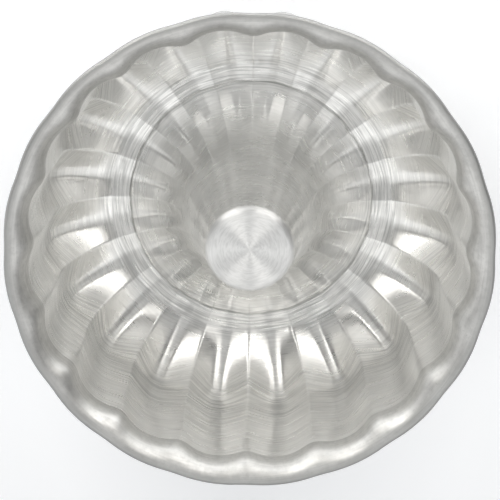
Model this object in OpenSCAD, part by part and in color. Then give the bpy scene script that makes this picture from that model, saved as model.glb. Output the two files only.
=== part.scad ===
// Ring mould for brioche, with twenty flutes, pressed from one sheet of bare aluminium.
// It stands on a base ring, on the flat floors of the flutes that run across it. Inside the
// ring a closed cone rises to a flat cap, and outside it the fluted bowl and wall rise to a rim
// that is rolled under into a curl.
// The sheet is drawn as the zones that the press forms one after another. They meet face to
// face, and the food side of each runs into the food side of the next.
// Origin: centre of the base, on the plane that the mould stands on. +Z is up.

/* [Overall] */
// Diameter over the rolled edge, measured across two flutes
rim_d = 250; // [244:1:256]
// Height from the base to the top of the rim
height = 104; // [98:1:110]
// Thickness of the sheet
sheet = 1; // [0.8:0.1:1.2]

/* [Flutes] */
// Number of flutes round the mould
flutes = 20; // [16:1:24]
// Depth of a flute at the top of the wall, from its floor to the ridges beside it
flute_depth = 4.5; // [3.5:0.1:5.5]
// Turn of the first ridge about the mould's axis, in degrees
first_ridge = 0; // [0:1:18]
// Height of the ridges above the floors of the flutes where they cross the base ring
ring_rise = 1.5; // [0.8:0.1:2]
// Slope at which a ridge leaves the base ring on the wall side, in degrees
bowl_ridge_slope = 22; // [18:1:27]
// Slope at which the floor of a flute leaves the base ring on the wall side, in degrees
bowl_floor_slope = 14; // [9:1:16]
// Slope at which a ridge leaves the base ring on the cone side, in degrees
cone_ridge_slope = 18; // [15:1:24]
// Slope at which the floor of a flute leaves the base ring on the cone side, in degrees
cone_floor_slope = 13; // [8:1:14]

/* [Base] */
// Diameter of the base ring at its inner edge
base_inner_d = 127; // [123:1:131]
// Diameter of the base ring at its outer edge
base_outer_d = 146; // [142:1:150]

/* [Wall] */
// Angle of the wall off the vertical, in degrees
wall_draft = 6; // [4:0.5:8]
// Diameter at the top of the wall, across two flutes
mouth_d = 227; // [224:1:230]
// Height at which the wall starts to roll over into the rim
mouth_z = 91; // [88:1:93]
// Height of the crease where the floor of a flute runs from the bowl into the straight wall
crease_z = 27; // [24:1:30]
// How much higher the crease runs over a ridge
crease_rise = 9; // [5:1:12]

/* [Cone] */
// Diameter of the cone where its shoulder starts
cone_d = 45; // [42:1:48]
// Height of the flat cap
cap_z = 98; // [92:1:100]
// Radius of the shoulder between the cap and the cone
shoulder_r = 3.4; // [2.5:0.1:4]
// Angle of the smooth part of the cone off the vertical, in degrees
cone_draft = 9; // [7:1:11]
// Height at which the flutes of the cone have faded out
fade_z = 80; // [74:1:84]

/* [Rim] */
// Diameter of the curl that the rim is rolled into
curl_d = 3.6; // [3.2:0.1:4.2]
// How far the rim draws in at each ridge
rim_dip = 0.6; // [0:0.1:1]

/* [Hidden] */

bare_aluminium = [0.77, 0.77, 0.75];
$fn = 96;

// Radii and heights on the food side of the sheet
rim_r = rim_d / 2;
curl_r = curl_d / 2;
base_inner_r = base_inner_d / 2;
base_outer_r = base_outer_d / 2;
mouth_r = mouth_d / 2;
floor_z = sheet;

// Steps along each zone, from one ring of points to the next
cone_steps = 6;
bowl_steps = 5;
lip_steps = 3;
// How far the two handles of a bend reach towards the corner of its tangents
cone_pull = 0.92;
bowl_pull = 0.6;
lip_pull = 0.6;
// The curl starts at its top and turns outwards and under until it nearly closes
curl_start = 90;
curl_turn = 285;
curl_outer_steps = 6;
curl_inner_steps = 3;

// Places of the columns across one flute, as shares of its width from ridge to ridge
ridge_half_share = 0.045;
column_shares = [0, ridge_half_share, 0.2, 0.4, 0.6, 0.8, 1 - ridge_half_share];
pitch = 360 / flutes;
columns = [
    for (k = [0:flutes - 1], share = column_shares)
        [first_ridge + (k + share) * pitch, share]
];

// Direction in the plane of radius and height, and the point where two such lines meet
function heading(angle) = [cos(angle), sin(angle)];
function meeting(p, a, q, b) =
    let (
        u = heading(a),
        v = heading(b),
        w = q - p,
        s = (w[0] * v[1] - w[1] * v[0]) / (u[0] * v[1] - u[1] * v[0])
    )
    p + s * u;

// A bend is a cubic curve from p, heading along angle a, to q, arriving along angle b
function bend(p, a, q, b, pull, t) =
    let (
        corner = meeting(p, a, q, b),
        h = p + pull * (corner - p),
        g = q + pull * (corner - q),
        s = 1 - t
    )
    s * s * s * p + 3 * s * s * t * h + 3 * s * t * t * g + t * t * t * q;

// A station holds the section point at the floor of a flute and the one at a ridge
function bent_stations(floor_ends, floor_angles, ridge_ends, ridge_angles, pull, steps) = [
    for (i = [0:steps])
        let (t = i / steps)
        [
            bend(floor_ends[0], floor_angles[0], floor_ends[1], floor_angles[1], pull, t),
            bend(ridge_ends[0], ridge_angles[0], ridge_ends[1], ridge_angles[1], pull, t)
        ]
];

// Height of the flute's arc above its flat floor, from 0 there to 1 at the ridge's tip
flat_share = 0.2;
function arc_rise(share) =
    max(0, pow(2 * share - 1, 2) - flat_share * flat_share) / (1 - flat_share * flat_share);
function rise(share) =
    let (off = min(share, 1 - share))
    off >= ridge_half_share ? arc_rise(share) :
    let (
        edge = arc_rise(ridge_half_share),
        slope = 4 * (1 - 2 * ridge_half_share) / (1 - flat_share * flat_share)
    )
    edge + slope * (ridge_half_share - off * off / ridge_half_share) / 2;

// Points of the sheet in space
function at_angle(p, angle) = [p[0] * cos(angle), p[0] * sin(angle), p[1]];
function section_point(station, share) =
    station[0] + rise(share) * (station[1] - station[0]);
function food_point(line, i, j) =
    let (c = columns[(j + len(columns)) % len(columns)])
    at_angle(section_point(line[i], c[1]), c[0]);

// The underside lies one sheet away, square to the food side
function under_point(line, ends, i, j) =
    let (last = len(line) - 1)
    food_point(line, i, j) + sheet * (
        i == 0 ? at_angle(ends[0], columns[j][0]) :
        i == last ? at_angle(ends[1], columns[j][0]) :
        let (
            along = food_point(line, i + 1, j) - food_point(line, i - 1, j),
            across = food_point(line, i, j + 1) - food_point(line, i, j - 1),
            square = cross(across, along)
        )
        square / norm(square)
    );

// Closed ring from equal loops of points, one loop for each column
module ring_loft(loops) {
    count = len(loops);
    size = len(loops[0]);
    polyhedron(
        points = [for (loop = loops) each loop],
        faces = [
            for (j = [0:count - 1], i = [0:size - 1])
                let (
                    next_j = (j + 1) % count,
                    next_i = (i + 1) % size,
                    a = j * size + i,
                    b = j * size + next_i,
                    c = next_j * size + next_i,
                    d = next_j * size + i
                )
                each [[a, c, b], [a, d, c]]
        ]
    );
}

// One zone of the fluted sheet, between two stations of its line
module fluted_zone(line, ends, first, last) {
    ring_loft([
        for (j = [0:len(columns) - 1]) concat(
            [for (i = [first:last]) food_point(line, i, j)],
            [for (i = [last:-1:first]) under_point(line, ends, i, j)]
        )
    ]);
}

// Ring of sheet turned about the axis between two angles of an arc
module turned_arc(centre, outer_r, from_angle, to_angle) {
    middle = (from_angle + to_angle) / 2;
    rotate_extrude() intersection() {
        translate(centre) difference() {
            circle(r = outer_r);
            circle(r = outer_r - sheet);
        }
        polygon([
            centre,
            centre + 2 * outer_r * heading(from_angle),
            centre + 3 * outer_r * heading(middle),
            centre + 2 * outer_r * heading(to_angle)
        ]);
    }
}

// The cone's side, and the line of its flutes from where they start down to the base ring
cone_side_angle = cone_draft - 90;
shoulder_out = heading(cone_draft);
shoulder_centre = [
    cone_d / 2 - shoulder_r * shoulder_out[0],
    cap_z - shoulder_r
];
shoulder_foot = shoulder_centre + shoulder_r * shoulder_out;
fade_r = shoulder_foot[0] + (shoulder_foot[1] - fade_z) * tan(cone_draft);
fade_point = [fade_r, fade_z];
base_inner = [base_inner_r, floor_z];
base_outer = [base_outer_r, floor_z];
raised = [0, ring_rise];
cone_line = bent_stations(
    [fade_point, base_inner], [cone_side_angle, -cone_floor_slope],
    [fade_point, base_inner + raised], [cone_side_angle, -cone_ridge_slope],
    cone_pull, cone_steps
);
straight_down = [0, -1];
cone_ends = [-shoulder_out, straight_down];

// The line of the base ring
base_line = [[base_inner, base_inner + raised], [base_outer, base_outer + raised]];
base_ends = [straight_down, straight_down];

// The line of the bowl, the wall and the rim, from the base ring out to the curl
wall_angle = 90 - wall_draft;
inset = [flute_depth, 0];
mouth = [mouth_r, mouth_z];
function down_wall(drop) = mouth - drop * [tan(wall_draft), 1];
floor_crease = down_wall(mouth_z - crease_z);
ridge_crease = down_wall(mouth_z - crease_z - crease_rise) - inset;
curl_top = [rim_r - curl_r, height];
bowl_stations = bent_stations(
    [base_outer, floor_crease], [bowl_floor_slope, wall_angle],
    [base_outer + raised, ridge_crease], [bowl_ridge_slope, wall_angle],
    bowl_pull, bowl_steps
);
lip_stations = bent_stations(
    [mouth, curl_top], [wall_angle, 0],
    [mouth - inset, curl_top - [rim_dip, 0]], [wall_angle, 0],
    lip_pull, lip_steps
);
wall_line = concat(bowl_stations, lip_stations);
wall_ends = [straight_down, straight_down];
crease_index = bowl_steps;
mouth_index = bowl_steps + 1;
rim_index = bowl_steps + 1 + lip_steps;

// Flat top of the cone with its rounded shoulder
module cone_cap() {
    color(bare_aluminium) union() {
        translate([0, 0, cap_z - sheet])
            cylinder(h = sheet, r = shoulder_centre[0]);
        turned_arc(shoulder_centre, shoulder_r, cone_draft, 90);
    }
}

// Smooth upper part of the cone
module centre_cone() {
    color(bare_aluminium) rotate_extrude() polygon([
        shoulder_foot,
        fade_point,
        fade_point - sheet * shoulder_out,
        shoulder_foot - sheet * shoulder_out
    ]);
}

// Flutes that grow down the cone and spread to the base ring
module cone_flutes() {
    color(bare_aluminium) fluted_zone(cone_line, cone_ends, 0, cone_steps);
}

// Base ring, where the mould stands on the flat floors of its flutes
module floor_band() {
    color(bare_aluminium) fluted_zone(base_line, base_ends, 0, 1);
}

// Curved lower part of the outer flutes
module fluted_bowl() {
    color(bare_aluminium) fluted_zone(wall_line, wall_ends, 0, crease_index);
}

// Straight upper part of the outer flutes
module fluted_wall() {
    color(bare_aluminium) fluted_zone(wall_line, wall_ends, crease_index, mouth_index);
}

// Roll-over at the top of the wall and the narrow flange outside it
module rim_flange() {
    color(bare_aluminium) fluted_zone(wall_line, wall_ends, mouth_index, rim_index);
}

// Curl that stiffens the rim and hides the cut edge of the sheet
module rolled_edge() {
    color(bare_aluminium) ring_loft([
        for (c = columns)
            let (
                top = section_point(wall_line[rim_index], c[1]),
                centre = top - [0, curl_r]
            )
            concat(
                [for (i = [0:curl_outer_steps])
                    let (a = curl_start - i * curl_turn / curl_outer_steps)
                    at_angle(centre + curl_r * heading(a), c[0])],
                [for (i = [curl_inner_steps:-1:0])
                    let (a = curl_start - i * curl_turn / curl_inner_steps)
                    at_angle(centre + (curl_r - sheet) * heading(a), c[0])]
            )
    ]);
}

cone_cap();
centre_cone();
cone_flutes();
floor_band();
fluted_bowl();
fluted_wall();
rim_flange();
rolled_edge();
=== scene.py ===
"""Looks of a fluted ring mould of bare aluminium: its sheet, finishes, light, floor and camera."""

import logging
import math
from dataclasses import dataclass, field
from enum import Enum

import bpy
import numpy as np
from mathutils import Matrix, Vector


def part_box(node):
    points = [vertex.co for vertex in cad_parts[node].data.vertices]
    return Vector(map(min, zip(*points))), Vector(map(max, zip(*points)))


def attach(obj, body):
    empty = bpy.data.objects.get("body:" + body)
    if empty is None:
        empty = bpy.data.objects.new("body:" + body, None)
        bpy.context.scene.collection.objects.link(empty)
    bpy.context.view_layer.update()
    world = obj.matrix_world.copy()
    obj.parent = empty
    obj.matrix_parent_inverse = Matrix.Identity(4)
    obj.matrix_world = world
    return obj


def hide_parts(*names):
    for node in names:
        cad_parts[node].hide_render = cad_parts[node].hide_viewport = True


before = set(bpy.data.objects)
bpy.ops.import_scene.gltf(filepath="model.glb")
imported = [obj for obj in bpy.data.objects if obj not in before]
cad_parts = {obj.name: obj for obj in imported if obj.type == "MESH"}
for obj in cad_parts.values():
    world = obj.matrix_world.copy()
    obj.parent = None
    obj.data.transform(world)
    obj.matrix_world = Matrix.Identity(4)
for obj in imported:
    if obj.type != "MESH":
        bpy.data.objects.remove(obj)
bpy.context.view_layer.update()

LOG = logging.getLogger("ring_mould")
MM = 0.001
BODY = "root"
Colour = tuple[float, float, float, float]

# The sheet's mesh starts this far from the axis, and no direction round it is taken nearer.
SMALLEST_RADIUS = 0.5 * MM

# Waves round the mould in the two lines that the press left, and the seeds of their phases.
LINE_WAVES, LINE_SEED = (3, 7, 13, 31, 47), 4
CREASE_WAVES, CREASE_SEED = (2, 5, 11, 23, 41), 9

# Two dents where each ridge starts: ranges of their turn as a share of a flute, their shift
# from the ring's edge, their sizes, and their depth as a share of the deepest. The inset is
# how much further in one of the two lies, and no dent reaches above the top.
DENT_SEED = 21
DENT_TURNS = (0.10, 0.20)
DENT_INSET = 2.5 * MM
DENT_SHIFTS = (-1.5 * MM, 1.5 * MM)
DENT_WIDTHS = (0.9 * MM, 1.6 * MM)
DENT_LENGTHS = (1.4 * MM, 2.6 * MM)
DENT_DEPTHS = (0.2, 1.0)
DENT_TOP = 9.0 * MM

# Turned noises: changes per radian along the turn, changes per metre across it, octaves, and
# the weight of the finer octaves in all of them.
GROOVES = (3.2, 1150.0, 2.0)
BANDS = (1.8, 360.0, 2.0)
LONG_LINES = (1.1, 650.0, 1.0)
TURNED_FINENESS = 0.6

# Upward parts of the normal between which metal passes from steep to level.
STEEP_TO_LEVEL = (0.62, 0.86)

# The highlight is drawn out across the turned scratches, a quarter of a turn from their line.
ACROSS_SCRATCHES = 0.25

# Overhead has no direction round the axis. There this stands in for the square of its flat part.
SMALLEST_FLAT = 0.0001

SURROUND_TONE: Colour = (0.99, 0.995, 0.99, 1.0)
FLOOR_TONE: Colour = (0.965, 0.975, 1.0, 1.0)
WARM_WHITE = (1.0, 0.985, 0.95)
LAMP_AIM_Z = 60.0 * MM


class Zone(Enum):
    """The zones of the pressed sheet, each named as its CAD node is."""

    CAP = "cone_cap"
    CONE = "centre_cone"
    CONE_FLUTES = "cone_flutes"
    BAND = "floor_band"
    BOWL = "fluted_bowl"
    WALL = "fluted_wall"
    FLANGE = "rim_flange"
    CURL = "rolled_edge"


class Slot(Enum):
    """The record's material slots."""

    PRESSED = "pressed_sheet"
    TURNED = "turned_cap"
    RIM = "rim_sheet"


def heading(degrees: float) -> np.ndarray:
    """Unit direction in the plane of radius and height.

    Args:
        degrees: Angle above the outward radius.

    Returns:
        The direction as (radius, height).
    """
    angle = math.radians(degrees)
    return np.array([math.cos(angle), math.sin(angle)])


def smooth_step(low: float, high: float, value: np.ndarray) -> np.ndarray:
    """Eased ramp from 0 at low to 1 at high.

    Args:
        low: Value where the ramp starts.
        high: Value where the ramp ends.
        value: Values to map.

    Returns:
        The eased shares, from 0 to 1.
    """
    t = np.clip((value - low) / (high - low), 0.0, 1.0)
    return t * t * (3.0 - 2.0 * t)


@dataclass(frozen=True)
class Bend:
    """A cubic curve that leaves one point along one heading and reaches another along another.

    Attributes:
        start: Point where the bend starts, as (radius, height).
        start_angle: Heading there, in degrees.
        end: Point where the bend ends.
        end_angle: Heading there, in degrees.
        pull: Share of the way to the corner of the two tangents that each handle reaches.
    """

    start: np.ndarray
    start_angle: float
    end: np.ndarray
    end_angle: float
    pull: float

    def corner(self) -> np.ndarray:
        """Returns the point where the two tangents meet."""
        u, v = heading(self.start_angle), heading(self.end_angle)
        w = self.end - self.start
        along = (w[0] * v[1] - w[1] * v[0]) / (u[0] * v[1] - u[1] * v[0])
        return self.start + along * u

    def points(self, t: np.ndarray) -> np.ndarray:
        """Points of the bend.

        Args:
            t: Places along it, from 0 to 1.

        Returns:
            One row of (radius, height) for each place.
        """
        corner = self.corner()
        first = self.start + self.pull * (corner - self.start)
        second = self.end + self.pull * (corner - self.end)
        t = t[:, None]
        s = 1.0 - t
        return s**3 * self.start + 3 * s * s * t * first + 3 * s * t * t * second + t**3 * self.end


@dataclass(frozen=True)
class MouldForm:
    """Driving sizes of the mould. Those that a CAD node shows are taken from the frame.

    Attributes:
        flutes: Number of flutes round the mould.
        sheet: Thickness of the sheet.
        flute_depth: Depth of a flute at the top of the wall.
        wall_draft: Angle of the wall off the vertical, in degrees.
        cone_draft: Angle of the cone's smooth part off the vertical, in degrees.
        bowl_ridge_slope: Slope at which a ridge leaves the base ring towards the wall, in degrees.
        bowl_floor_slope: Slope at which the floor of a flute leaves it towards the wall, in degrees.
        cone_ridge_slope: Slope at which a ridge leaves the base ring towards the cone, in degrees.
        cone_floor_slope: Slope at which the floor of a flute leaves it towards the cone, in degrees.
        mouth_r: Radius at the top of the wall, at the floor of a flute.
        crease_rise: How much higher the crease below the wall runs over a ridge.
        shoulder_r: Radius of the shoulder between the cap and the cone.
        curl_r: Radius of the rolled edge.
        rim_r: Radius over the rolled edge, at the floor of a flute.
        rim_dip: How far the rim draws in at each ridge.
        ring_rise: How far the ridges stand up where they run on over the base ring.
        curl_turn: Angle that the rolled edge turns through, in degrees.
        cone_pull: Pull of the bend from the cone to the base ring.
        bowl_pull: Pull of the bend from the base ring to the wall.
        lip_pull: Pull of the bend from the wall to the flange.
    """

    flutes: int = 20
    sheet: float = 1.0 * MM
    flute_depth: float = 5.0 * MM
    wall_draft: float = 6.0
    cone_draft: float = 9.0
    bowl_ridge_slope: float = 22.0
    bowl_floor_slope: float = 14.0
    cone_ridge_slope: float = 18.0
    cone_floor_slope: float = 13.0
    mouth_r: float = 113.5 * MM
    crease_rise: float = 9.0 * MM
    shoulder_r: float = 3.4 * MM
    curl_r: float = 1.8 * MM
    rim_r: float = 124.95 * MM
    rim_dip: float = 1.0 * MM
    ring_rise: float = 1.5 * MM
    curl_turn: float = 285.0
    cone_pull: float = 0.92
    bowl_pull: float = 0.6
    lip_pull: float = 0.6

    @property
    def height(self) -> float:
        """Height of the rim above the base."""
        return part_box(Zone.CURL.value)[1].z

    @property
    def base_inner_r(self) -> float:
        """Radius of the base ring's inner edge."""
        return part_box(Zone.CONE_FLUTES.value)[1].x

    @property
    def base_outer_r(self) -> float:
        """Radius of the base ring's outer edge."""
        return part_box(Zone.BAND.value)[1].x

    @property
    def cap_z(self) -> float:
        """Height of the cap."""
        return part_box(Zone.CAP.value)[1].z

    @property
    def cap_r(self) -> float:
        """Radius of the cone where its shoulder starts."""
        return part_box(Zone.CAP.value)[1].x

    @property
    def fade_z(self) -> float:
        """Height at which the cone's flutes have faded out."""
        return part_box(Zone.CONE_FLUTES.value)[1].z

    @property
    def ridge_crease_z(self) -> float:
        """Height of the crease between the bowl and the wall, over a ridge."""
        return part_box(Zone.BOWL.value)[1].z

    @property
    def mouth_z(self) -> float:
        """Height at which the wall starts to roll over."""
        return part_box(Zone.WALL.value)[1].z


@dataclass
class SheetLine:
    """The section of the sheet from the middle of the cap out to the cut edge in the curl.

    Each station holds the section point at the floor of a flute, the one at a ridge, and
    its zone. The line runs on through all zones, so normals pass from one to the next.

    Attributes:
        form: Sizes of the mould.
        step: Distance between stations along the line.
        fine_step: The same next to a line that the press left.
        growth: Factor from each step to the next, away from such a line.
        fine_part: Largest part of a stretch that the growing steps may take.
        fewest_steps: Fewest even steps of a stretch.
        arc_step: Angle between the stations of an arc, in degrees.
        fewest_arc_steps: Fewest steps of an arc.
        bend_samples: Points that a bend is measured with.
        floors: Section points at the floor of a flute.
        ridges: Section points at a ridge.
        spans: First and last station of each zone.
    """

    form: MouldForm
    step: float = 1.1 * MM
    fine_step: float = 0.16 * MM
    growth: float = 1.25
    fine_part: float = 0.4
    fewest_steps: int = 2
    arc_step: float = 15.0
    fewest_arc_steps: int = 8
    bend_samples: int = 256
    floors: list[np.ndarray] = field(default_factory=list)
    ridges: list[np.ndarray] = field(default_factory=list)
    spans: dict[Zone, tuple[int, int]] = field(default_factory=dict)

    def __post_init__(self) -> None:
        """Lays the zones end to end."""
        form = self.form
        out = heading(form.cone_draft)
        shoulder = np.array([form.cap_r - form.shoulder_r * out[0], form.cap_z - form.shoulder_r])
        foot = shoulder + form.shoulder_r * out
        fade_r = foot[0] + (foot[1] - form.fade_z) * math.tan(math.radians(form.cone_draft))
        fade = np.array([fade_r, form.fade_z])
        inner = np.array([form.base_inner_r, form.sheet])
        outer = np.array([form.base_outer_r, form.sheet])
        mouth = np.array([form.mouth_r, form.mouth_z])
        inset = np.array([form.flute_depth, 0.0])
        down_wall = np.array([math.tan(math.radians(form.wall_draft)), 1.0])
        ridge_drop = form.mouth_z - form.ridge_crease_z
        floor_crease = mouth - (ridge_drop + form.crease_rise) * down_wall
        ridge_crease = mouth - ridge_drop * down_wall - inset
        top = np.array([form.rim_r - form.curl_r, form.height])
        dip = np.array([form.rim_dip, 0.0])
        down, up = form.cone_draft - 90.0, 90.0 - form.wall_draft
        raised = np.array([0.0, form.ring_rise])

        cap_start = np.array([SMALLEST_RADIUS, form.cap_z])
        self._turned(Zone.CAP, cap_start, shoulder + [0.0, form.shoulder_r])
        self._arc(Zone.CAP, shoulder, form.shoulder_r, 90.0, form.cone_draft)
        self._turned(Zone.CONE, foot, fade)
        self._bends(
            Zone.CONE_FLUTES,
            Bend(fade, down, inner, -form.cone_floor_slope, form.cone_pull),
            Bend(fade, down, inner + raised, -form.cone_ridge_slope, form.cone_pull),
            fine_end=True,
        )
        self._ruled(Zone.BAND, (inner, outer), (inner + raised, outer + raised), fine_start=True)
        self._bends(
            Zone.BOWL,
            Bend(outer, form.bowl_floor_slope, floor_crease, up, form.bowl_pull),
            Bend(outer + raised, form.bowl_ridge_slope, ridge_crease, up, form.bowl_pull),
            fine_end=True,
        )
        self._ruled(
            Zone.WALL, (floor_crease, mouth), (ridge_crease, mouth - inset), fine_start=True
        )
        self._bends(
            Zone.FLANGE,
            Bend(mouth, up, top, 0.0, form.lip_pull),
            Bend(mouth - inset, up, top - dip, 0.0, form.lip_pull),
        )
        self._arc(Zone.CURL, top - [0.0, form.curl_r], form.curl_r, 90.0, 90.0 - form.curl_turn, dip)

    def _places(self, length: float, fine_start: bool, fine_end: bool) -> np.ndarray:
        """Places of the stations along a stretch, closer together at an end with a line.

        Args:
            length: Length of the stretch.
            fine_start: Whether its start lies on a line that the press left.
            fine_end: Whether its end does.

        Returns:
            Shares of the length, from 0 to 1.
        """
        steps = math.ceil(math.log(self.step / self.fine_step, self.growth))
        growing = np.cumsum(self.fine_step * self.growth ** np.arange(steps))
        growing = growing[growing < self.fine_part * length]
        head = growing if fine_start else np.empty(0)
        tail = length - growing[::-1] if fine_end else np.empty(0)
        low = head[-1] if len(head) else 0.0
        high = tail[0] if len(tail) else length
        count = max(self.fewest_steps, round((high - low) / self.step))
        middle = np.linspace(low, high, count + 1)
        return np.unique(np.concatenate([[0.0], head, middle, tail, [length]])) / length

    def _add(self, zone: Zone, floors: np.ndarray, ridges: np.ndarray) -> None:
        """Appends stations to the line and widens the zone's span.

        Args:
            zone: Zone that the stations belong to.
            floors: Section points at the floor of a flute.
            ridges: Section points at a ridge.
        """
        first = len(self.floors)
        if first:
            floors, ridges, first = floors[1:], ridges[1:], first - 1
        self.floors.extend(floors)
        self.ridges.extend(ridges)
        start = self.spans.get(zone, (first, first))[0]
        self.spans[zone] = (start, len(self.floors) - 1)

    def _ruled(
        self,
        zone: Zone,
        at_floor: tuple[np.ndarray, np.ndarray],
        at_ridge: tuple[np.ndarray, np.ndarray],
        fine_start: bool = False,
    ) -> None:
        """Adds a straight stretch.

        Args:
            zone: Zone that it belongs to.
            at_floor: Its first and last section point at the floor of a flute.
            at_ridge: The same at a ridge.
            fine_start: Whether its start lies on a line that the press left.
        """
        length = float(np.linalg.norm(at_floor[1] - at_floor[0]))
        t = self._places(length, fine_start, False)[:, None]
        self._add(zone, *(first + t * (last - first) for first, last in (at_floor, at_ridge)))

    def _turned(self, zone: Zone, start: np.ndarray, end: np.ndarray) -> None:
        """Adds a straight stretch that has no flutes.

        Args:
            zone: Zone that it belongs to.
            start: Its first section point.
            end: Its last one.
        """
        self._ruled(zone, (start, end), (start, end))

    def _arc(
        self,
        zone: Zone,
        centre: np.ndarray,
        radius: float,
        start: float,
        end: float,
        dip: np.ndarray | float = 0.0,
    ) -> None:
        """Adds an arc.

        Args:
            zone: Zone that it belongs to.
            centre: Centre of the arc at the floor of a flute.
            radius: Radius of the arc.
            start: Angle where it starts, in degrees.
            end: Angle where it ends.
            dip: How far the centre draws in at a ridge.
        """
        count = max(self.fewest_arc_steps, round(abs(end - start) / self.arc_step))
        floors = np.array([centre + radius * heading(a) for a in np.linspace(start, end, count + 1)])
        self._add(zone, floors, floors - dip)

    def _bends(self, zone: Zone, at_floor: Bend, at_ridge: Bend, fine_end: bool = False) -> None:
        """Adds a bent stretch.

        Args:
            zone: Zone that it belongs to.
            at_floor: Bend at the floor of a flute.
            at_ridge: Bend at a ridge.
            fine_end: Whether its end lies on a line that the press left.
        """
        even = np.linspace(0.0, 1.0, self.bend_samples)
        walked = np.cumsum(np.linalg.norm(np.diff(at_floor.points(even), axis=0), axis=1))
        walked = np.concatenate([[0.0], walked])
        t = np.interp(self._places(walked[-1], False, fine_end) * walked[-1], walked, even)
        self._add(zone, at_floor.points(t), at_ridge.points(t))


@dataclass
class PressedSheet:
    """The whole sheet as a grid of points with their normals.

    Attributes:
        form: Sizes of the mould.
        columns_per_flute: Columns of points across one flute, closer together near its ridges.
        tip_share: Half of the ridge's rounded tip, as a share of the flute's width.
        floor_share: Flat floor of the flute, as a share of its width.
        corner_share: Softness of the corner between that floor and the sides.
        lip_softening: Heights between which the ridges soften towards the lip.
        lip_tip_share: Half of a ridge's rounded tip at the lip, as a share of the flute's width.
        crowding: How strongly the columns gather at the ridges, from 0 to 1.
        line_depth: Depth of the line round the base ring's inner edge.
        line_width: Width of that line.
        line_top: Height below which it lies.
        burr_share: Height of the burr beside it, as a share of its depth.
        burr_place: Distance of the burr from its middle, in widths of the line.
        line_waver: How far the lines that the press left waver.
        crease_depth: Height of the bead along the crease below the wall.
        bead_width: Width of that bead.
        dent_depth: Depth of the deepest dents where the ridges start.
    """

    form: MouldForm
    columns_per_flute: int = 24
    tip_share: float = 0.032
    floor_share: float = 0.18
    corner_share: float = 0.03
    lip_softening: tuple[float, float] = (50.0 * MM, 96.0 * MM)
    lip_tip_share: float = 0.13
    crowding: float = 0.78
    line_depth: float = 0.20 * MM
    line_width: float = 0.32 * MM
    line_top: float = 6.0 * MM
    burr_share: float = 0.55
    burr_place: float = 1.9
    line_waver: float = 0.30 * MM
    crease_depth: float = 0.10 * MM
    bead_width: float = 0.51 * MM
    dent_depth: float = 0.22 * MM

    def __post_init__(self) -> None:
        """Works out the grid."""
        self.line = SheetLine(self.form)
        u = np.arange(self.columns_per_flute) / self.columns_per_flute
        shares = u - self.crowding * np.sin(2 * np.pi * u) / (2 * np.pi)
        flutes = np.arange(self.form.flutes)
        self.shares = np.tile(shares, self.form.flutes)
        self.angles = ((flutes[:, None] + shares[None, :]) * 2 * np.pi / self.form.flutes).ravel()
        floors, ridges = np.array(self.line.floors), np.array(self.line.ridges)
        outside = floors[:, 0] > self.form.base_outer_r
        softness = smooth_step(*self.lip_softening, floors[:, 1]) * outside
        crisp, soft = self._rise(self.shares), self._soft_rise(self.shares)
        rise = (crisp[None, :] + softness[:, None] * (soft - crisp)[None, :])[..., None]
        section = floors[:, None, :] + rise * (ridges - floors)[:, None, :]
        self.food = self._turn(section)
        self.normals = self._normals(self.food)
        self.food += self.normals * self._relief(section)[..., None]
        self.normals = self._normals(self.food)
        self.under = self.food - self.form.sheet * self.normals
        np.maximum(self.under[..., 2], 0.0, out=self.under[..., 2])

    def _rise(self, shares: np.ndarray) -> np.ndarray:
        """Height of the flute's section, from 0 at its floor to about 1 at the rounded ridge.

        Args:
            shares: Places across the flute, from one ridge at 0 to the next at 1.

        Returns:
            The heights as shares of the flute's depth.
        """
        off = np.minimum(shares, 1.0 - shares)
        tip = self.tip_share
        side, slope = self._side(np.maximum(off, tip))
        rounded = side + slope * (tip - off * off / tip) / 2.0
        return np.where(off < tip, rounded, side)

    def _soft_rise(self, shares: np.ndarray) -> np.ndarray:
        """Height of the section near the lip, where the ridges soften into the roll-over.

        Args:
            shares: Places across the flute, from one ridge at 0 to the next at 1.

        Returns:
            The heights as shares of the flute's depth.
        """
        off = np.minimum(shares, 1.0 - shares)
        tip = self.lip_tip_share
        outside = np.maximum(off, tip)
        arc = (1.0 - 2.0 * outside) ** 2
        return arc + 4.0 * (1.0 - 2.0 * tip) * np.maximum(tip - off * off / tip, 0.0) / 2.0

    def _side(self, off: np.ndarray) -> tuple[np.ndarray, np.ndarray]:
        """Height and steepness of a flute's side.

        Args:
            off: Distance from the nearer ridge, as a share of the flute's width.

        Returns:
            The height, and how fast it falls away from the ridge.
        """
        reach = 0.5 - self.floor_share / 2.0
        x = (reach - off) / reach
        root = np.sqrt(x * x + self.corner_share**2)
        lift, lift_slope = (x + root) / 2.0, (1.0 + x / root) / 2.0
        return lift, lift_slope / reach

    def _turn(self, section: np.ndarray) -> np.ndarray:
        """Turns section points about the axis.

        Args:
            section: Points as (radius, height), station by column.

        Returns:
            The points in space.
        """
        r, z = section[..., 0], section[..., 1]
        return np.stack([r * np.cos(self.angles), r * np.sin(self.angles), z], axis=-1)

    @staticmethod
    def _normals(points: np.ndarray) -> np.ndarray:
        """Unit normals on the food side of a grid that closes on itself across its columns.

        Args:
            points: Grid of points, station by column.

        Returns:
            The normals.
        """
        before = np.diff(points, axis=0, prepend=2 * points[:1] - points[1:2])
        after = np.diff(points, axis=0, append=2 * points[-1:] - points[-2:-1])
        near = np.linalg.norm(before, axis=-1, keepdims=True)
        far = np.linalg.norm(after, axis=-1, keepdims=True)
        along = before * far / near + after * near / far
        across = np.roll(points, -1, axis=1) - np.roll(points, 1, axis=1)
        square = np.cross(along, across)
        return square / np.linalg.norm(square, axis=-1, keepdims=True)

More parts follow.
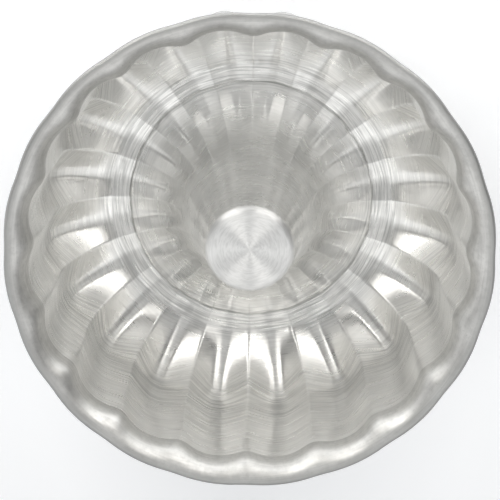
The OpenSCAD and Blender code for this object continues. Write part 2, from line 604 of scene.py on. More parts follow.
    def _waver(self, waves: tuple[int, ...], seed: int) -> np.ndarray:
        """Smooth wavering round the mould, about one high.

        Args:
            waves: How many times each part of it swings round the mould.
            seed: Start of the random phases.

        Returns:
            Its value at each column.
        """
        phases = np.random.default_rng(seed).uniform(0.0, 2 * np.pi, len(waves))
        swings = [np.sin(k * self.angles + phase) for k, phase in zip(waves, phases)]
        return np.sum(swings, axis=0) / math.sqrt(len(waves))

    def _relief(self, section: np.ndarray) -> np.ndarray:
        """Marks that the press and the spinning left in the surface.

        Args:
            section: Points as (radius, height), station by column.

        Returns:
            How far each point stands proud of the plain form.
        """
        r, z = section[..., 0], section[..., 1]
        waver = self.line_waver * self._waver(LINE_WAVES, LINE_SEED)
        off = (r - self.form.base_inner_r - waver) / self.line_width
        groove = np.exp(-off * off) - self.burr_share * np.exp(-((off - self.burr_place) ** 2))
        made = -self.line_depth * groove * (z < self.line_top)
        first = self.line.spans[Zone.WALL][0]
        steps = np.linalg.norm(np.diff(section, axis=0, prepend=section[:1]), axis=-1)
        walked = np.cumsum(steps, axis=0)
        waver = self.line_waver * self._waver(CREASE_WAVES, CREASE_SEED)
        off = (walked - walked[first] - waver) / self.bead_width
        outside = r > self.line.floors[first][0] - 2.0 * self.form.flute_depth
        made += self.crease_depth * np.exp(-off * off) * outside
        return made + self._dents(r, z)

    def _dents(self, r: np.ndarray, z: np.ndarray) -> np.ndarray:
        """Small dents where the ridges start, near the base ring's outer edge.

        Args:
            r: Radius of each point.
            z: Height of each point.

        Returns:
            How far each point stands proud, which is zero or less.
        """
        dice = np.random.default_rng(DENT_SEED)
        made = np.zeros_like(r)
        pitch = 2 * np.pi / self.form.flutes
        for flute in range(self.form.flutes):
            for inset, side in ((DENT_INSET, 1), (0.0, -1)):
                turn = (flute + side * dice.uniform(*DENT_TURNS)) * pitch
                place = self.form.base_outer_r - inset + dice.uniform(*DENT_SHIFTS)
                width, length = dice.uniform(*DENT_WIDTHS), dice.uniform(*DENT_LENGTHS)
                apart = (self.angles - turn + np.pi) % (2 * np.pi) - np.pi
                across, along = apart * r / width, (r - place) / length
                depth = self.dent_depth * dice.uniform(*DENT_DEPTHS)
                made -= depth * np.exp(-(across**2) - along**2)
        return made * (z < DENT_TOP)


def material_named(name: str) -> bpy.types.Material:
    """Makes an empty node material.

    Args:
        name: Name of the material.

    Returns:
        The material, with no nodes in it.
    """
    material = bpy.data.materials.new(name)
    material.use_nodes = True
    material.node_tree.nodes.clear()
    return material


class NodeSheet:
    """Short calls for wiring a node tree."""

    def __init__(self, tree: bpy.types.NodeTree) -> None:
        """Starts on a node tree.

        Args:
            tree: Node tree to build in.
        """
        self.tree = tree

    def node(self, kind: str, **settings: object) -> bpy.types.Node:
        """Adds a node.

        Args:
            kind: Blender's name for the node type.
            **settings: Properties to set on it.

        Returns:
            The node.
        """
        made = self.tree.nodes.new(kind)
        for key, value in settings.items():
            setattr(made, key, value)
        return made

    def feed(self, socket: bpy.types.NodeSocket, value: object) -> None:
        """Links an output to a socket, or sets the socket's own value.

        Args:
            socket: Input to feed.
            value: Output socket, number or tuple.
        """
        if isinstance(value, bpy.types.NodeSocket):
            self.tree.links.new(value, socket)
        else:
            socket.default_value = value

    def math(self, operation: str, *values: object) -> bpy.types.NodeSocket:
        """Does arithmetic on one to three values.

        Args:
            operation: Blender's name for it.
            *values: Sockets or numbers.

        Returns:
            The result's socket.
        """
        made = self.node("ShaderNodeMath", operation=operation)
        for socket, value in zip(made.inputs, values):
            self.feed(socket, value)
        return made.outputs[0]

    def ramp(
        self, value: object, low: float, high: float, start: float = 0.0, end: float = 1.0
    ) -> bpy.types.NodeSocket:
        """Eased map of a value from one range to another.

        Args:
            value: Socket or number.
            low: Value that maps to start.
            high: Value that maps to end.
            start: Result at low.
            end: Result at high.

        Returns:
            The result's socket.
        """
        made = self.node("ShaderNodeMapRange", interpolation_type="SMOOTHSTEP")
        for socket, number in zip(made.inputs[:5], (value, low, high, start, end)):
            self.feed(socket, number)
        return made.outputs[0]

    def mix(self, share: object, first: object, second: object) -> bpy.types.NodeSocket:
        """Mixes two colours.

        Args:
            share: How much of the second, from 0 to 1.
            first: Colour or socket.
            second: Colour or socket.

        Returns:
            The mixed colour's socket.
        """
        made = self.node("ShaderNodeMix", data_type="RGBA")
        self.feed(made.inputs[0], share)
        self.feed(made.inputs[6], first)
        self.feed(made.inputs[7], second)
        return made.outputs[2]

    def noise(
        self, vector: bpy.types.NodeSocket, scale: float, detail: float, rough: float
    ) -> bpy.types.NodeSocket:
        """Adds smooth noise.

        Args:
            vector: Coordinates.
            scale: Waves per unit.
            detail: Finer layers.
            rough: Weight of the finer layers.

        Returns:
            The noise's socket, from 0 to 1.
        """
        made = self.node("ShaderNodeTexNoise", noise_dimensions="3D")
        self.feed(made.inputs["Vector"], vector)
        made.inputs["Scale"].default_value = scale
        made.inputs["Detail"].default_value = detail
        made.inputs["Roughness"].default_value = rough
        return made.outputs[0]

    def vector(self, x: object, y: object, z: object) -> bpy.types.NodeSocket:
        """Joins three numbers into a vector.

        Args:
            x: Socket or number.
            y: Socket or number.
            z: Socket or number.

        Returns:
            The vector's socket.
        """
        made = self.node("ShaderNodeCombineXYZ")
        for socket, value in zip(made.inputs, (x, y, z)):
            self.feed(socket, value)
        return made.outputs[0]


class TurnedSurface:
    """Where a point of the sheet lies, and noise that is drawn out round the axis.

    Attributes:
        sheet: Node tree of the material.
        place: The point.
        radius: Its distance from the axis.
        z: Its height.
        around: Its direction from the axis, as x and y parts.
        facing: The surface's normal there, as x, y and z parts.
        level: 1 where the surface lies level, 0 where it is steep.
    """

    def __init__(self, sheet: NodeSheet) -> None:
        """Wires the coordinates.

        Args:
            sheet: Node tree of the material.
        """
        self.sheet = sheet
        self.place = sheet.node("ShaderNodeTexCoord").outputs["Object"]
        x, y, self.z = self._split(self.place)
        self.radius = sheet.math("SQRT", sheet.math("MULTIPLY_ADD", x, x, sheet.math("MULTIPLY", y, y)))
        safe = sheet.math("MAXIMUM", self.radius, SMALLEST_RADIUS)
        self.around = (sheet.math("DIVIDE", x, safe), sheet.math("DIVIDE", y, safe))
        self.facing = self._split(sheet.node("ShaderNodeNewGeometry").outputs["Normal"])
        self.level = sheet.ramp(sheet.math("ABSOLUTE", self.facing[2]), *STEEP_TO_LEVEL)

    def _split(self, vector: bpy.types.NodeSocket) -> list[bpy.types.NodeSocket]:
        """Splits a vector.

        Args:
            vector: The vector's socket.

        Returns:
            The sockets of its x, y and z parts.
        """
        split = self.sheet.node("ShaderNodeSeparateXYZ")
        self.sheet.feed(split.inputs[0], vector)
        return list(split.outputs)

    def noise(self, slow: float, fine: float, detail: float) -> bpy.types.NodeSocket:
        """Noise that is slow along the turn and fine across it, as turned scratches are.

        Args:
            slow: Changes per radian along the turn.
            fine: Changes per metre across it, outwards on level metal and upwards on steep metal.
            detail: Octaves of finer noise.

        Returns:
            The noise's socket.
        """
        sheet = self.sheet
        turn = [sheet.math("MULTIPLY", part, slow) for part in self.around]
        on_level, on_steep = (
            sheet.noise(
                sheet.vector(*turn, sheet.math("MULTIPLY", across, fine)), 1.0, detail, TURNED_FINENESS
            )
            for across in (self.radius, self.z)
        )
        change = sheet.math("SUBTRACT", on_level, on_steep)
        return sheet.math("MULTIPLY_ADD", change, self.level, on_steep)

    def near(
        self,
        value: bpy.types.NodeSocket,
        middle: float,
        reach: tuple[float, float],
        strength: float = 1.0,
        rest: float = 0.0,
    ) -> bpy.types.NodeSocket:
        """Strength of a mark that is full near one radius or height and fades on both sides.

        Args:
            value: The radius or the height.
            middle: Where the mark is.
            reach: Distances from there up to which it is full, and from which it has faded.
            strength: Full strength.
            rest: Faded strength.

        Returns:
            The strength's socket.
        """
        away = self.sheet.math("ABSOLUTE", self.sheet.math("SUBTRACT", value, middle))
        return self.sheet.ramp(away, *reach, strength, rest)


@dataclass(frozen=True)
class WearAndPaintedLightPlaces:
    """Where on the sheet its finish, its painted shade and its painted dark reflections change.

    Attributes:
        scratched_r: Radius in the middle of the scratched stretch round the base ring.
        scratched_reach: Distances from it where the scratches start and end to fade.
        crease_z: Height of the crease below the wall.
        crease_reach: Distances from it where its scratches start and end to fade.
        wall_r: Radii between which the wall's scratches set in.
        line_r: Radius of the line round the base ring.
        line_reach: Distances from it where its painted shade starts and ends to fade.
        line_z: Heights between which that painted shade ends.
        outside_r: Radii between which the duller outside sets in.
        cone_r: Radii between which the painted dark reflections on the cone end.
        curl_r: Radii between which the painted shade on the rim's outer side sets in.
    """

    scratched_r: float = 69.0 * MM
    scratched_reach: tuple[float, float] = (5.0 * MM, 12.0 * MM)
    crease_z: float = 34.0 * MM
    crease_reach: tuple[float, float] = (8.0 * MM, 26.0 * MM)
    wall_r: tuple[float, float] = (84.0 * MM, 98.0 * MM)
    line_r: float = 63.5 * MM
    line_reach: tuple[float, float] = (0.20 * MM, 0.75 * MM)
    line_z: tuple[float, float] = (3.5 * MM, 6.0 * MM)
    outside_r: tuple[float, float] = (72.0 * MM, 80.0 * MM)
    cone_r: tuple[float, float] = (50.0 * MM, 62.0 * MM)
    curl_r: tuple[float, float] = (118.0 * MM, 124.0 * MM)


@dataclass(frozen=True)
class MarkLevels:
    """Levels of the noises between which the marks fade in, and strengths that all finishes share.

    Attributes:
        outward: Outward parts of the normal between which metal passes from food side to outside.
        crease_strength: Strength of the scratches at the crease.
        wall_strength: Strength of the scratches up the wall.
        blotches: Octaves of the blotches, and the weight of the finer ones.
        streaks: Levels between which the dull streaks fade in.
        lines: Levels between which the long lines fade in.
        line_shade_strength: Strength of the painted shade in the line round the base ring.
        line_shade_breaks: Levels of the blotches between which that painted shade thins.
        thin_line_shade: Share of it that is left where it is thin.
        painted_reflection_patches: Levels of the blotches between which the painted dark reflections on
            the cone deepen.
        faint_painted_reflection: Share of a painted dark reflection where it is faint.
        pit_noise: Waves per metre of the pits, their octaves, and the weight of the finer ones.
        pits: Levels of it between which the pits fade in.
        wobble_noise: The same numbers as in pit_noise, for the soft unevenness.
        groove_share: How much of the roughness follows the grooves, where the rest follows the bands.
        roughness: Levels of both together between which the roughness swings.
    """

    outward: tuple[float, float] = (0.0, 0.25)
    crease_strength: float = 0.85
    wall_strength: float = 0.42
    blotches: tuple[float, float] = (4.0, 0.6)
    streaks: tuple[float, float] = (0.40, 0.64)
    lines: tuple[float, float] = (0.56, 0.68)
    # Painted shade in the line round the base ring: its strength, where it breaks up and how thin it
    # gets.
    line_shade_strength: float = 0.7
    line_shade_breaks: tuple[float, float] = (0.38, 0.60)
    thin_line_shade: float = 0.35
    # Painted dark reflections on the cone: levels where they deepen, and how faint they get.
    painted_reflection_patches: tuple[float, float] = (0.40, 0.60)
    faint_painted_reflection: float = 0.25
    pit_noise: tuple[float, float, float] = (900.0, 3.0, 0.7)
    pits: tuple[float, float] = (0.60, 0.72)
    wobble_noise: tuple[float, float, float] = (30.0, 1.0, 0.4)
    groove_share: float = 0.6
    roughness: tuple[float, float] = (0.25, 0.75)


@dataclass(frozen=True)
class AluminiumFinish:
    """Bare aluminium with turned scratches, blotches and wear, and with painted shade and painted dark
    reflections.

    Attributes:
        name: Name of the material.
        light_tone: Colour where it is clean.
        dark_tone: Colour where it is dull, and of the painted dark reflections on the cone.
        line_shade_tone: Colour of the painted shade in the line round the base ring.
        outside_tone: Colour of the duller outside.
        edge_tone: Colour of the painted shade on the rim's outer side.
        pit_tone: Colour of the pits.
        roughness: Mean roughness.
        rough_spread: How far the roughness swings with the scratches.
        anisotropy: How much the scratches draw out a highlight.
        groove_height: Height of the fine turned grooves.
        band_height: Height of the broader turned bands.
        wobble_height: Height of the soft unevenness that bends reflections.
        mottle_scale: Blotches per metre.
        streak_share: How much of the dull tone comes from turned streaks, the rest from blotches.
        calm_share: Strength of the streaks away from the scratched stretches.
        line_strength: Strength of the long lines among the scratches.
        edge_shade: How far the painted shade darkens the outer side of the rim, where the floor shows
            in it.
        outside_shade: How far the outside of the wall is duller than the food side.
        painted_cone_reflection: Strength of the painted dark reflections on the cone.
        pits: Strength of the fine dark pits, from 0 to 1.
        places: Where the finish, the painted shade and the painted dark reflections change.
        levels: Where the noises turn into marks.
    """

    name: str
    light_tone: Colour = (0.90, 0.895, 0.878, 1.0)
    dark_tone: Colour = (0.58, 0.58, 0.57, 1.0)
    line_shade_tone: Colour = (0.30, 0.30, 0.29, 1.0)
    # Painted shade in the line round the base ring.
    outside_tone: Colour = (0.55, 0.55, 0.545, 1.0)
    # Painted shade on the rim's outer side.
    edge_tone: Colour = (0.34, 0.34, 0.335, 1.0)
    pit_tone: Colour = (0.42, 0.42, 0.41, 1.0)
    roughness: float = 0.30
    rough_spread: float = 0.06
    anisotropy: float = 0.95
    groove_height: float = 0.006 * MM
    band_height: float = 0.022 * MM
    wobble_height: float = 0.10 * MM
    mottle_scale: float = 38.0
    streak_share: float = 0.7
    calm_share: float = 0.30
    line_strength: float = 0.75
    edge_shade: float = 0.0
    outside_shade: float = 0.65
    # Painted dark reflections on the cone.
    painted_cone_reflection: float = 0.30
    pits: float = 0.0
    places: WearAndPaintedLightPlaces = WearAndPaintedLightPlaces()
    levels: MarkLevels = MarkLevels()

    def _busy(self, surface: TurnedSurface) -> bpy.types.NodeSocket:
        """Strength of the scratches: full along the base ring, the crease and the wall.

        Args:
            surface: Where the point lies.

        Returns:
            The strength's socket.
        """
        sheet, places, levels = surface.sheet, self.places, self.levels
        ring = surface.near(
            surface.radius, places.scratched_r, places.scratched_reach, 1.0, self.calm_share
        )
        strengths = levels.crease_strength, levels.wall_strength
        crease = surface.near(surface.z, places.crease_z, places.crease_reach, *strengths)
        wall = sheet.math("MULTIPLY", crease, sheet.ramp(surface.radius, *places.wall_r))
        return sheet.math("MAXIMUM", ring, wall)

    def _outside(self, surface: TurnedSurface) -> bpy.types.NodeSocket:
        """Share of the duller tone on the outside of the bowl and the wall.

        Args:
            surface: Where the point lies.

        Returns:
            The share's socket.
        """
        sheet = surface.sheet
        outward = sheet.math("MULTIPLY", surface.facing[1], surface.around[1])
        outward = sheet.math("MULTIPLY_ADD", surface.facing[0], surface.around[0], outward)
        faces_out = sheet.ramp(outward, *self.levels.outward, 0.0, self.outside_shade)
        return sheet.math("MULTIPLY", faces_out, sheet.ramp(surface.radius, *self.places.outside_r))

    def _line_shade(self, surface: TurnedSurface, blotches: bpy.types.NodeSocket) -> bpy.types.NodeSocket:
        """Strength of the painted shade in the line round the base ring, in broken stretches.

        Args:
            surface: Where the point lies.
            blotches: Noise that breaks the line up.

        Returns:
            The strength's socket.
        """
        sheet, places, levels = surface.sheet, self.places, self.levels
        line = surface.near(surface.radius, places.line_r, places.line_reach, levels.line_shade_strength)
        low = sheet.ramp(surface.z, *places.line_z, 1.0, 0.0)
        broken = sheet.ramp(blotches, *levels.line_shade_breaks, 1.0, levels.thin_line_shade)
        return sheet.math("MULTIPLY", sheet.math("MULTIPLY", line, low), broken)

    def _tone(self, surface: TurnedSurface, grooves: bpy.types.NodeSocket) -> bpy.types.NodeSocket:
        """Colour of the metal with its scratches and wear, painted shade and painted dark reflections.

        Args:
            surface: Where the point lies.
            grooves: Noise of the fine turned grooves.

        Returns:
            The colour's socket.
        """
        sheet, levels, busy = surface.sheet, self.levels, self._busy(surface)
        blotches = sheet.noise(surface.place, self.mottle_scale, *levels.blotches)
        patches = sheet.math("MULTIPLY", blotches, 1.0 - self.streak_share)
        dull = sheet.math("MULTIPLY_ADD", grooves, self.streak_share, patches)
        streaks = sheet.ramp(dull, *levels.streaks)
        lines = sheet.ramp(surface.noise(*LONG_LINES), *levels.lines, 0.0, self.line_strength)
        marks = sheet.math("MULTIPLY", sheet.math("MAXIMUM", streaks, lines), busy)
        tone = sheet.mix(marks, self.light_tone, self.dark_tone)
        # Painted shade in the line round the base ring, in broken stretches.
        tone = sheet.mix(self._line_shade(surface, blotches), tone, self.line_shade_tone)
        # Painted dark reflections on the cone, in blotches.
        painted_reflection_patches = sheet.ramp(blotches, *levels.painted_reflection_patches, levels.faint_painted_reflection, 1.0)
        on_cone = sheet.ramp(surface.radius, *self.places.cone_r, self.painted_cone_reflection, 0.0)
        tone = sheet.mix(sheet.math("MULTIPLY", painted_reflection_patches, on_cone), tone, self.dark_tone)
        tone = sheet.mix(self._outside(surface), tone, self.outside_tone)
        # Painted shade on the rim's outer side.
        if self.edge_shade:
            edge = sheet.ramp(surface.radius, *self.places.curl_r, 0.0, self.edge_shade)
            tone = sheet.mix(edge, tone, self.edge_tone)
        if self.pits:
            spots = sheet.noise(surface.place, *levels.pit_noise)
            tone = sheet.mix(sheet.ramp(spots, *levels.pits, 0.0, self.pits), tone, self.pit_tone)
        return tone

    def _bumped(
        self, surface: TurnedSurface, grooves: bpy.types.NodeSocket, bands: bpy.types.NodeSocket
    ) -> bpy.types.NodeSocket:
        """Normal of the metal with its soft unevenness, broad bands and fine grooves.

        Args:
            surface: Where the point lies.
            grooves: Noise of the fine turned grooves.
            bands: Noise of the broader bands.

        Returns:
            The normal's socket.
        """
        sheet = surface.sheet
        wobble = sheet.noise(surface.place, *self.levels.wobble_noise)
        normal = None
        for shape, height in (
            (wobble, self.wobble_height),
            (bands, self.band_height),
            (grooves, self.groove_height),
        ):
            bump = sheet.node("ShaderNodeBump")
            bump.inputs["Strength"].default_value = 1.0
            bump.inputs["Distance"].default_value = height
            sheet.feed(bump.inputs["Height"], shape)
            if normal is not None:
                sheet.feed(bump.inputs["Normal"], normal)
            normal = bump.outputs[0]
        return normal

    def build(self) -> bpy.types.Material:
        """Returns the finish as a node material."""
        material = material_named(self.name)
        sheet = NodeSheet(material.node_tree)
        surface = TurnedSurface(sheet)
        grooves = surface.noise(*GROOVES)
        bands = surface.noise(*BANDS)
        shader = sheet.node("ShaderNodeBsdfPrincipled")
        sheet.feed(shader.inputs["Base Color"], self._tone(surface, grooves))
        shader.inputs["Metallic"].default_value = 1.0
        share = self.levels.groove_share
        swing = sheet.math("MULTIPLY", bands, 1.0 - share)
        swing = sheet.math("MULTIPLY_ADD", grooves, share, swing)
        smooth, rough = self.roughness - self.rough_spread, self.roughness + self.rough_spread
        roughness = sheet.ramp(swing, *self.levels.roughness, smooth, rough)
        sheet.feed(shader.inputs["Roughness"], roughness)
        shader.inputs["Anisotropic"].default_value = self.anisotropy
        shader.inputs["Anisotropic Rotation"].default_value = ACROSS_SCRATCHES
        tangent = sheet.node("ShaderNodeTangent", direction_type="RADIAL", axis="Z")
        sheet.feed(shader.inputs["Tangent"], tangent.outputs[0])
        sheet.feed(shader.inputs["Normal"], self._bumped(surface, grooves, bands))
        out = sheet.node("ShaderNodeOutputMaterial")
        sheet.feed(out.inputs["Surface"], shader.outputs[0])
        return material


@dataclass
class SheetPart:
    """A part of the sheet that is made as one or more zones with one finish.

    Attributes:
        sheet: The whole sheet.
        zones: Zones of this part, from the middle of the mould outwards.
        finish: Finish of the part.
        slot: Material slot in the record. Not used.
    """

    sheet: PressedSheet
    zones: tuple[Zone, ...]
    finish: AluminiumFinish
    slot: Slot

    def build(self) -> list[bpy.types.Object]:
        """Returns the dressed pieces, one for each zone."""
        material = self.finish.build()
        made = []
        for zone in self.zones:
            piece = self._piece(zone)
            piece.data.materials.append(material)
            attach(piece, BODY)
            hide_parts(zone.value)
            LOG.info("%s: %d faces", piece.name, len(piece.data.polygons))
            made.append(piece)
        return made

    def _piece(self, zone: Zone) -> bpy.types.Object:
        """Makes the closed mesh of one zone.

        Args:
            zone: The zone.

        Returns:
            Its object, not yet dressed.
        """
        first, last = self.sheet.line.spans[zone]
        food, under, normals = (
            grid[first : last + 1].reshape(-1, 3)
            for grid in (self.sheet.food, self.sheet.under, self.sheet.normals)
        )
        points = np.concatenate([food, under])
        directions = np.concatenate([normals, -normals])
        closed = zone is Zone.CAP
        if closed:
            centre = self.sheet.form.cap_z
            points = np.concatenate([points, [[0, 0, centre], [0, 0, centre - self.sheet.form.sheet]]])
            directions = np.concatenate([directions, [[0, 0, 1], [0, 0, -1]]])
        mesh = bpy.data.meshes.new(zone.value + "_sheet")
        mesh.from_pydata(points.tolist(), [], self._faces(last - first + 1, closed))
        mesh.polygons.foreach_set("use_smooth", np.ones(len(mesh.polygons), dtype=bool))
        mesh.normals_split_custom_set_from_vertices(directions.tolist())
        mesh.update()
        piece = bpy.data.objects.new(zone.value + "_sheet", mesh)
        bpy.context.scene.collection.objects.link(piece)
        return piece

    def _faces(self, rows: int, closed: bool) -> list[list[int]]:
        """Joins the points of one zone: both sides of the sheet, and the edges between them.

        Args:
            rows: Stations of the zone.
            closed: Whether fans to two points on the axis close its middle, instead of an edge.

        Returns:
            The points of each face.
        """
        columns = len(self.sheet.angles)
        low = rows * columns
        row, column = np.meshgrid(np.arange(rows - 1), np.arange(columns), indexing="ij")
        a = (row * columns + column).ravel()
        b = (row * columns + (column + 1) % columns).ravel()
        upper = np.stack([a, a + columns, b + columns, b], axis=1)
        lower = upper[:, ::-1] + low
        ring = np.arange(columns)
        after = (ring + 1) % columns
        inner_edge = np.stack([ring, after, after + low, ring + low], axis=1)
        outer_edge = inner_edge[:, ::-1] + (rows - 1) * columns
        if not closed:
            return np.concatenate([upper, lower, outer_edge, inner_edge]).tolist()
        top, bottom = 2 * low, 2 * low + 1
        fans = [[top, i, j] for i, j in zip(ring, after)]
        fans += [[bottom, j + low, i + low] for i, j in zip(ring, after)]
        return np.concatenate([upper, lower, outer_edge]).tolist() + fans


@dataclass(frozen=True)
class SoftBox:
    """A rectangular lamp that faces the mould.

    Attributes:
        name: Name of the lamp.
        turn: Direction that the light comes from, in degrees round +Z from the photo's top.
        lift: Angle above the horizon, in degrees.
        distance: Distance from the mould.
        width: Width of the lamp.
        height: Height of the lamp.
        power: Power in watts.
        tint: Colour of the light.
    """

    name: str
    turn: float
    lift: float
    distance: float
    width: float
    height: float
    power: float
    tint: tuple[float, float, float] = WARM_WHITE

    def build(self, top_turn: float) -> bpy.types.Object:
        """Makes the lamp.

        Args:
            top_turn: Angle of the photo's upward direction about +Z, in degrees.

        Returns:
            The lamp's object.
        """
        data = bpy.data.lights.new(self.name, "AREA")
        data.shape = "RECTANGLE"
        data.size, data.size_y = self.width, self.height
        data.energy = self.power
        data.color = self.tint
        lamp = bpy.data.objects.new(self.name, data)
        around = math.radians(top_turn + self.turn)
        lift = math.radians(self.lift)
        back = Vector(
            (math.cos(around) * math.cos(lift), math.sin(around) * math.cos(lift), math.sin(lift))
        )
        lamp.location = Vector((0.0, 0.0, LAMP_AIM_Z)) + back * self.distance
        lamp.rotation_mode = "QUATERNION"
        lamp.rotation_quaternion = (-back).to_track_quat("-Z", "Y")
        bpy.context.scene.collection.objects.link(lamp)
        return lamp


@dataclass
class Studio:
    """The plain floor, the lamps and the surrounding white.

    Attributes:
        top_turn: Angle of the photo's upward direction about +Z, in degrees.
        lamps: The lamps.
        floor_half: Half of the floor's side.
        zenith_level: Level of the surround overhead.
        near_level: Its level behind the camera, half way up.
        near_low_level: Its level there, low down.
        side_level: Its level at each side.
        far_level: Its level on the far side, between and above the lamps.
        left_glow: What a pale wall adds low down on the left.
        strip_level: Level of the bright strip along the horizon on the far side.
        strip_edge: Cosines of the turns from straight ahead where the strip starts and is full.
        strip_fall: Angles from overhead where the strip is full and ends.
        near_fall: Angles from overhead where the near side is low and is half way up.
        near_edge: Cosines of the turns between the near side and the sides.
        far_edge: Cosines of the turns between the sides and the far side.
        left_edge: Cosines of the turns from the left where the glow there starts and is full.
        left_fall: Angles from overhead where that glow is full and ends.
        overhead_fall: Angles from overhead where its level starts and is full.
        floor_glow: What the floor adds for the eye and in reflections, so that it reads as white.
    """

    top_turn: float
    lamps: tuple[SoftBox, ...]
    floor_half: float = 3.0
    zenith_level: float = 0.72
    near_level: float = 1.28
    near_low_level: float = 0.3
    side_level: float = 0.15
    far_level: float = 0.08
    left_glow: float = 1.0
    strip_level: float = 5.0
    strip_edge: tuple[float, float] = (0.45, 0.68)
    strip_fall: tuple[float, float] = (82.0, 75.0)
    near_fall: tuple[float, float] = (70.0, 50.0)
    near_edge: tuple[float, float] = (-0.45, 0.1)
    far_edge: tuple[float, float] = (0.3, 0.7)
    left_edge: tuple[float, float] = (0.55, 0.95)
    left_fall: tuple[float, float] = (78.0, 60.0)
    overhead_fall: tuple[float, float] = (30.0, 16.0)
    floor_glow: float = 0.18

    def build(self) -> None:
        """Makes the floor, the lamps and the surround."""
        for lamp in self.lamps:
            lamp.build(self.top_turn)
            LOG.info("lamp %s", lamp.name)
        self._surround()
        self._floor()

    def _surround(self) -> None:
        """Lights the world with softly graded grey and a bright strip low on the far side."""
        world = bpy.data.worlds.new("graded_surround")
        bpy.context.scene.world = world
        world.use_nodes = True
        world.node_tree.nodes.clear()
        sheet = NodeSheet(world.node_tree)
        light = sheet.node("ShaderNodeBackground")
        light.inputs["Color"].default_value = SURROUND_TONE
        sheet.feed(light.inputs["Strength"], self._level(sheet))
        out = sheet.node("ShaderNodeOutputWorld")
        sheet.feed(out.inputs["Surface"], light.outputs[0])

    def _level(self, sheet: NodeSheet) -> bpy.types.NodeSocket:
        """Level of the surround, by direction.

        Args:
            sheet: Node tree of the world.

        Returns:
            The level's socket.
        """
        split = sheet.node("ShaderNodeSeparateXYZ")
        sheet.feed(split.inputs[0], sheet.node("ShaderNodeTexCoord").outputs["Generated"])
        x, y, up = split.outputs
        turn = math.radians(self.top_turn)
        height_squared = sheet.math("MULTIPLY", up, up)
        flat = sheet.math("SUBTRACT", 1.0, height_squared)
        flat = sheet.math("SQRT", sheet.math("MAXIMUM", flat, SMALLEST_FLAT))
        ahead = sheet.math("MULTIPLY", y, math.sin(turn))
        ahead = sheet.math("MULTIPLY_ADD", x, math.cos(turn), ahead)
        ahead = sheet.math("DIVIDE", ahead, flat)
        left = sheet.math("MULTIPLY", y, math.cos(turn))
        left = sheet.math("MULTIPLY_ADD", x, -math.sin(turn), left)
        left = sheet.math("DIVIDE", left, flat)

        near = sheet.ramp(up, *self._up(*self.near_fall), self.near_low_level, self.near_level)
        level = sheet.ramp(ahead, *self.near_edge, near, self.side_level)
        level = sheet.ramp(ahead, *self.far_edge, level, self.far_level)
        low_down = sheet.ramp(up, *self._up(*self.left_fall), 1.0, 0.0)
        left_low = sheet.math("MULTIPLY", sheet.ramp(left, *self.left_edge), low_down)
        level = sheet.math("MULTIPLY_ADD", left_low, self.left_glow, level)
        level = sheet.math("MAXIMUM", level, 0.0)
        lift = sheet.ramp(up, *self._up(*self.overhead_fall))
        overhead = sheet.math("MULTIPLY", lift, self.zenith_level)
        level = sheet.math("MULTIPLY_ADD", level, sheet.math("SUBTRACT", 1.0, lift), overhead)
        on_horizon = sheet.ramp(up, *self._up(*self.strip_fall), 1.0, 0.0)
        strip = sheet.math("MULTIPLY", sheet.ramp(ahead, *self.strip_edge), on_horizon)
        return sheet.math("MULTIPLY_ADD", strip, self.strip_level, level)

    @staticmethod
    def _up(low: float, high: float) -> tuple[float, float]:
        """Upward parts of two directions.

        Args:
            low: Angle of the lower direction from overhead, in degrees.
            high: Angle of the higher one.

        Returns:
            The upward part of each.
        """
        return math.cos(math.radians(low)), math.cos(math.radians(high))

    def _floor(self) -> None:
        """Makes the floor, pale enough to read as white round the mould's shadow."""
        half = self.floor_half
        mesh = bpy.data.meshes.new("floor")
        corners = [(-half, -half, 0.0), (half, -half, 0.0), (half, half, 0.0), (-half, half, 0.0)]
        mesh.from_pydata(corners, [], [(0, 1, 2, 3)])
        floor = bpy.data.objects.new("floor", mesh)
        bpy.context.scene.collection.objects.link(floor)
        material = material_named("white_floor")
        sheet = NodeSheet(material.node_tree)
        path = sheet.node("ShaderNodeLightPath")
        paint = sheet.node("ShaderNodeBsdfDiffuse")
        paint.inputs["Color"].default_value = FLOOR_TONE
        glow = sheet.node("ShaderNodeEmission")
        seen = path.outputs["Is Camera Ray"]
        for ray in ("Is Glossy Ray", "Is Transmission Ray"):
            seen = sheet.math("MAXIMUM", seen, path.outputs[ray])
        sheet.feed(glow.inputs["Strength"], sheet.math("MULTIPLY", seen, self.floor_glow))
        both = sheet.node("ShaderNodeAddShader")
        sheet.feed(both.inputs[0], paint.outputs[0])
        sheet.feed(both.inputs[1], glow.outputs[0])
        out = sheet.node("ShaderNodeOutputMaterial")
        sheet.feed(out.inputs["Surface"], both.outputs[0])
        mesh.materials.append(material)


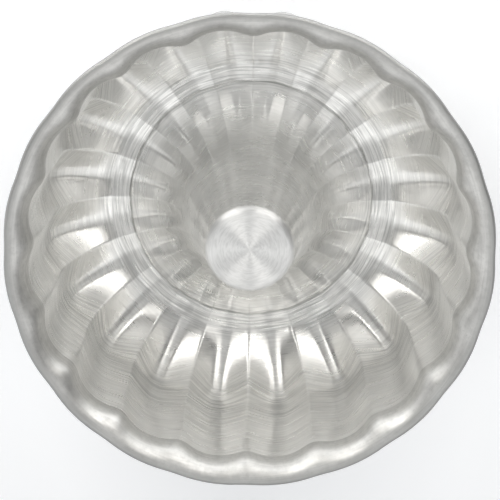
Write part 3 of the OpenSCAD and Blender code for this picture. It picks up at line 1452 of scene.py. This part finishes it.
@dataclass(frozen=True)
class PhotoCamera:
    """The photograph's view, worked out from the rim, the base ring and the cap.

    Attributes:
        tilt: Angle between the view and the mould's axis, in degrees.
        roll: Turn of the image about the view, clockwise, in degrees.
        distance: Distance from the centre of the rim.
        rim_z: Height of the rolled edge's middle, which the fit was made on.
        rim_scale: Pixels per metre at the rim.
        image_side: Side of the image in pixels.
        centre_x: Pixel column of the rim's centre.
        centre_y: Pixel row of the rim's centre.
        top_turn: Angle of the photo's upward direction about +Z, in degrees.
        sensor: Width of the camera's sensor, in Blender's millimetres.
        clip_near: Nearest distance that it sees.
        clip_far: Farthest distance that it sees.
    """

    tilt: float = 16.4
    roll: float = 1.6
    distance: float = 2.5
    rim_z: float = 102.2 * MM
    rim_scale: float = 1979.0
    image_side: float = 500.0
    centre_x: float = 249.6
    centre_y: float = 252.2
    top_turn: float = 269.34
    sensor: float = 36.0
    clip_near: float = 0.05
    clip_far: float = 30.0

    def build(self) -> bpy.types.Object:
        """Returns the camera's object."""
        turn, tilt = math.radians(self.top_turn), math.radians(self.tilt)
        upward = Vector((math.cos(turn), math.sin(turn), 0.0))
        axis = Vector((0.0, 0.0, 1.0))
        back = upward * math.sin(tilt) + axis * math.cos(tilt)
        spin = Matrix.Rotation(math.radians(self.roll), 3, back)
        right = spin @ upward.cross(axis)
        up = spin @ (upward * math.cos(tilt) - axis * math.sin(tilt))
        centre = Vector((0.0, 0.0, self.rim_z))
        half = self.image_side / 2.0
        aim_right = (half - self.centre_x) / self.rim_scale
        aim_up = (self.centre_y - half) / self.rim_scale
        data = bpy.data.cameras.new("photo_camera")
        data.sensor_width = self.sensor
        data.lens = self.sensor * self.rim_scale * self.distance / self.image_side
        data.clip_start, data.clip_end = self.clip_near, self.clip_far
        camera = bpy.data.objects.new("photo_camera", data)
        turned = Matrix((right, up, back)).transposed()
        camera.location = centre + back * self.distance + right * aim_right + up * aim_up
        camera.rotation_mode = "QUATERNION"
        camera.rotation_quaternion = turned.to_quaternion()
        bpy.context.scene.collection.objects.link(camera)
        bpy.context.scene.camera = camera
        return camera


PRESSED_FINISH = AluminiumFinish("pressed_aluminium")
TURNED_FINISH = AluminiumFinish(
    "turned_aluminium",
    light_tone=(0.91, 0.908, 0.90, 1.0),
    dark_tone=(0.76, 0.76, 0.75, 1.0),
    roughness=0.46,
    rough_spread=0.03,
    anisotropy=0.90,
    groove_height=0.003 * MM,
    band_height=0.008 * MM,
    wobble_height=0.02 * MM,
    calm_share=0.8,
    painted_cone_reflection=0.0,
)
RIM_FINISH = AluminiumFinish(
    "rim_aluminium",
    light_tone=(0.69, 0.685, 0.67, 1.0),
    dark_tone=(0.45, 0.45, 0.44, 1.0),
    roughness=0.45,
    rough_spread=0.10,
    anisotropy=0.4,
    band_height=0.03 * MM,
    wobble_height=0.20 * MM,
    mottle_scale=300.0,
    streak_share=0.4,
    pits=0.5,
    # Painted shade on the rim's outer side.
    edge_shade=0.75,
)
LAMPS = (
    SoftBox("key_left", turn=36.0, lift=44.0, distance=1.3, width=0.66, height=0.46, power=4.55),
    SoftBox("key_right", turn=-32.0, lift=44.5, distance=1.3, width=0.81, height=0.46, power=4.65),
)


def main() -> None:
    """Builds the mould, the studio and the camera in order."""
    logging.basicConfig(level=logging.INFO)
    bpy.context.scene.view_settings.view_transform = "Standard"
    camera = PhotoCamera()
    camera.build()
    sheet = PressedSheet(MouldForm())
    parts = (
        SheetPart(sheet, (Zone.CAP,), TURNED_FINISH, Slot.TURNED),
        SheetPart(
            sheet,
            (Zone.CONE, Zone.CONE_FLUTES, Zone.BAND, Zone.BOWL, Zone.WALL),
            PRESSED_FINISH,
            Slot.PRESSED,
        ),
        SheetPart(sheet, (Zone.FLANGE, Zone.CURL), RIM_FINISH, Slot.RIM),
    )
    for part in parts:
        part.build()
    Studio(camera.top_turn, LAMPS).build()


if __name__ == "__main__":
    main()
